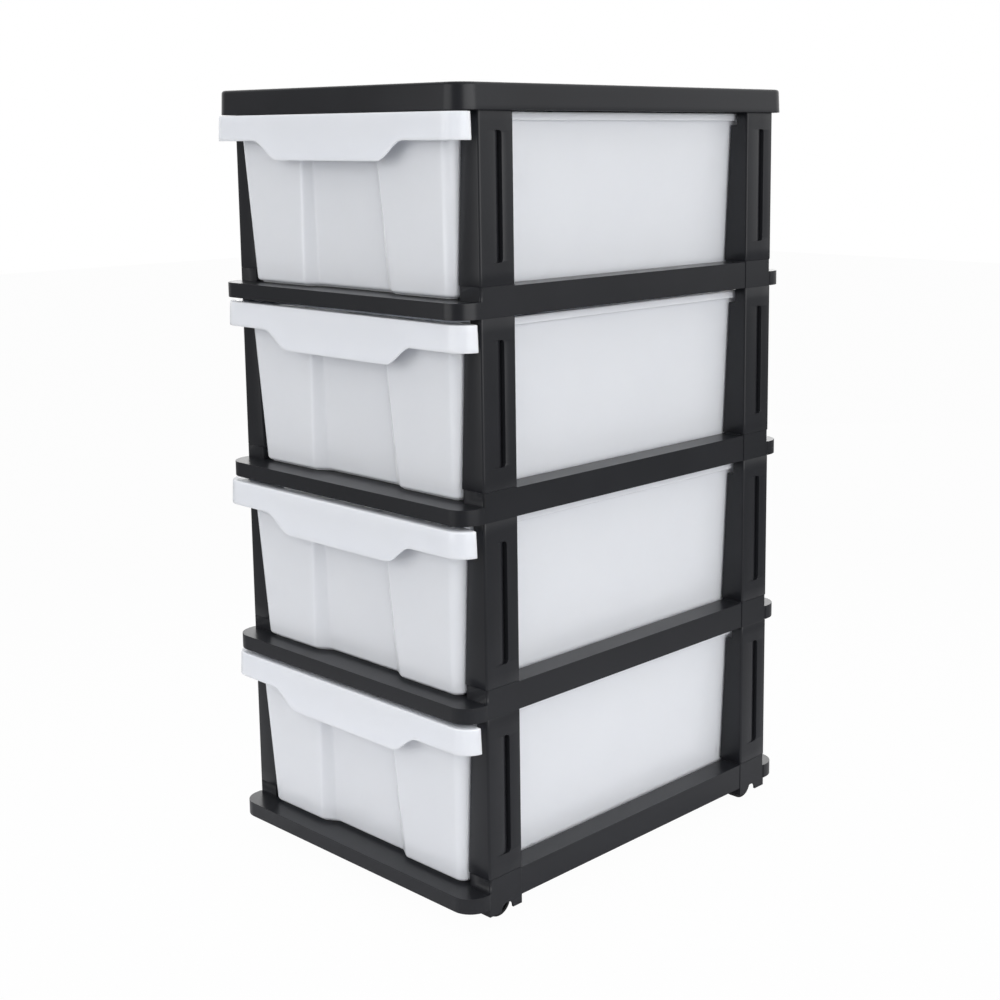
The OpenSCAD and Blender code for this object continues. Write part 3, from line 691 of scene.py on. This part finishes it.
def studioFloor(settings):
    # matt white paper; to the camera it is part of the white background and still holds the shadow
    bm = bmesh.new()
    bmesh.ops.create_grid(bm, x_segments=2, y_segments=2, size=settings["floorSize"])
    mesh = bpy.data.meshes.new("studio_floor")
    bm.to_mesh(mesh)
    bm.free()
    floor = newPiece("studio_floor", mesh)
    material, tree = newMaterial("matt white paper")
    out = addNode(tree, "ShaderNodeOutputMaterial")
    rays = addNode(tree, "ShaderNodeLightPath")
    coords = addNode(tree, "ShaderNodeTexCoord")
    # painted light falloff: the paper's colour darkens away from the tower, standing for studio light that falls
    # off there, so that the front doesn't mirror a bright floor
    away = addNode(tree, "ShaderNodeVectorMath", {"operation": "LENGTH"}, {0: coords.outputs["Object"]})
    paintedFalloff = addNode(tree, "ShaderNodeMapRange", {"interpolation_type": "SMOOTHSTEP"},
                   {"Value": away.outputs["Value"]})
    paintedFalloff.inputs["From Min"].default_value, paintedFalloff.inputs["From Max"].default_value = settings["floorPaintedFalloff"]
    tone = addNode(tree, "ShaderNodeMix", {"data_type": "RGBA"}, {"Factor": paintedFalloff.outputs["Result"]})
    tone.inputs["A"].default_value = srgb(settings["floorNear"])
    tone.inputs["B"].default_value = srgb(settings["floorPaintedShade"])
    paper = addNode(tree, "ShaderNodeBsdfDiffuse", links={"Color": tone.outputs["Result"]})
    white = addNode(tree, "ShaderNodeEmission", Color=(1, 1, 1, 1), Strength=1.0)
    seen = addNode(tree, "ShaderNodeMath", {"operation": "MULTIPLY"}, {0: rays.outputs["Is Camera Ray"]})
    seen.inputs[1].default_value = settings["whiteShare"]
    mix = addNode(tree, "ShaderNodeMixShader",
                  links={0: seen.outputs[0], 1: paper.outputs[0], 2: white.outputs[0]})
    tree.links.new(mix.outputs[0], out.inputs["Surface"])
    mesh.materials.append(material)


def studioWorld(settings):
    # a white sweep: plain white to the camera, and in a gloss white behind the tower and dimmer in front of it
    world = bpy.data.worlds.new("studio")
    world.use_nodes = True
    tree = world.node_tree
    tree.nodes.clear()
    out = addNode(tree, "ShaderNodeOutputWorld")
    rays = addNode(tree, "ShaderNodeLightPath")
    ways = addNode(tree, "ShaderNodeTexCoord")
    depth = addNode(tree, "ShaderNodeSeparateXYZ", links={"Vector": ways.outputs["Generated"]})
    room = addNode(tree, "ShaderNodeMapRange", {"interpolation_type": "SMOOTHSTEP"},
                   {"Value": depth.outputs["Y"]})
    room.inputs["From Min"].default_value, room.inputs["From Max"].default_value = settings["skyTurn"]
    room.inputs["To Min"].default_value = settings["skyInFront"]
    room.inputs["To Max"].default_value = settings["skyBehind"]
    matt = addNode(tree, "ShaderNodeMix", {"data_type": "FLOAT"},
                   {"Factor": rays.outputs["Is Glossy Ray"], "B": room.outputs["Result"]})
    matt.inputs["A"].default_value = settings["skyForMatt"]
    seen = addNode(tree, "ShaderNodeMath", {"operation": "MAXIMUM"},
                   {0: rays.outputs["Is Camera Ray"], 1: rays.outputs["Is Transmission Ray"]})
    strength = addNode(tree, "ShaderNodeMix", {"data_type": "FLOAT"},
                       {"Factor": seen.outputs[0], "A": matt.outputs["Result"]})
    strength.inputs["B"].default_value = 1.0
    sky = addNode(tree, "ShaderNodeBackground", links={"Strength": strength.outputs["Result"]},
                  Color=(1, 1, 1, 1))
    tree.links.new(sky.outputs[0], out.inputs["Surface"])
    bpy.context.scene.world = world


def softbox(side, settings):
    # a tall softbox around the tower; its turn counts from straight in front toward the tower's right side
    a = math.radians(settings[side + "Turn"])
    away = Vector((math.sin(a), -math.cos(a), 0.0))
    lamp = bpy.data.lights.new(side + "_softbox", "AREA")
    lamp.shape, lamp.size, lamp.size_y = "RECTANGLE", settings[side + "Width"], settings["lampHeight"]
    lamp.energy = settings[side + "Power"]
    holder = bpy.data.objects.new(side + "_softbox", lamp)
    holder.location = away * settings["lampDistance"] + Vector((0, 0, settings["lampMiddle"]))
    holder.rotation_mode = "QUATERNION"
    holder.rotation_quaternion = (-away).to_track_quat("-Z", "Y")
    bpy.context.scene.collection.objects.link(holder)


studioFloor(studio)
studioWorld(studio)
for side in ("left", "right", "rear"):
    softbox(side, studio)

# found from the photograph: lens and shift for a 36 mm sensor, angles in degrees, place in millimetres
photoView = {
    "lens": 57.73, "shift": (-0.06839, -0.10081), "yaw": 43.45, "pitch": 9.31, "roll": -0.39,
    "place": (998.7, -979.85, 612.0),
}


def photoCamera(v):
    a, e, r = (math.radians(v[key]) for key in ("yaw", "pitch", "roll"))
    ahead = Vector((-math.sin(a) * math.cos(e), math.cos(a) * math.cos(e), -math.sin(e)))
    right = Vector((math.cos(a), math.sin(a), 0.0))
    up = right.cross(ahead)
    rolledRight = right * math.cos(r) + up * math.sin(r)
    rolledUp = up * math.cos(r) - right * math.sin(r)
    turn = Matrix((rolledRight, rolledUp, -ahead)).transposed()
    data = bpy.data.cameras.new("photo_camera")
    data.sensor_width, data.lens = 36.0, v["lens"]
    data.shift_x, data.shift_y = v["shift"]
    data.clip_start, data.clip_end = 0.05, 30.0
    camera = bpy.data.objects.new("photo_camera", data)
    camera.matrix_world = Matrix.Translation(Vector(v["place"]) * mm) @ turn.to_4x4()
    bpy.context.scene.collection.objects.link(camera)
    bpy.context.scene.camera = camera


photoCamera(photoView)
bpy.context.scene.view_settings.view_transform = "Standard"
print("studio made")
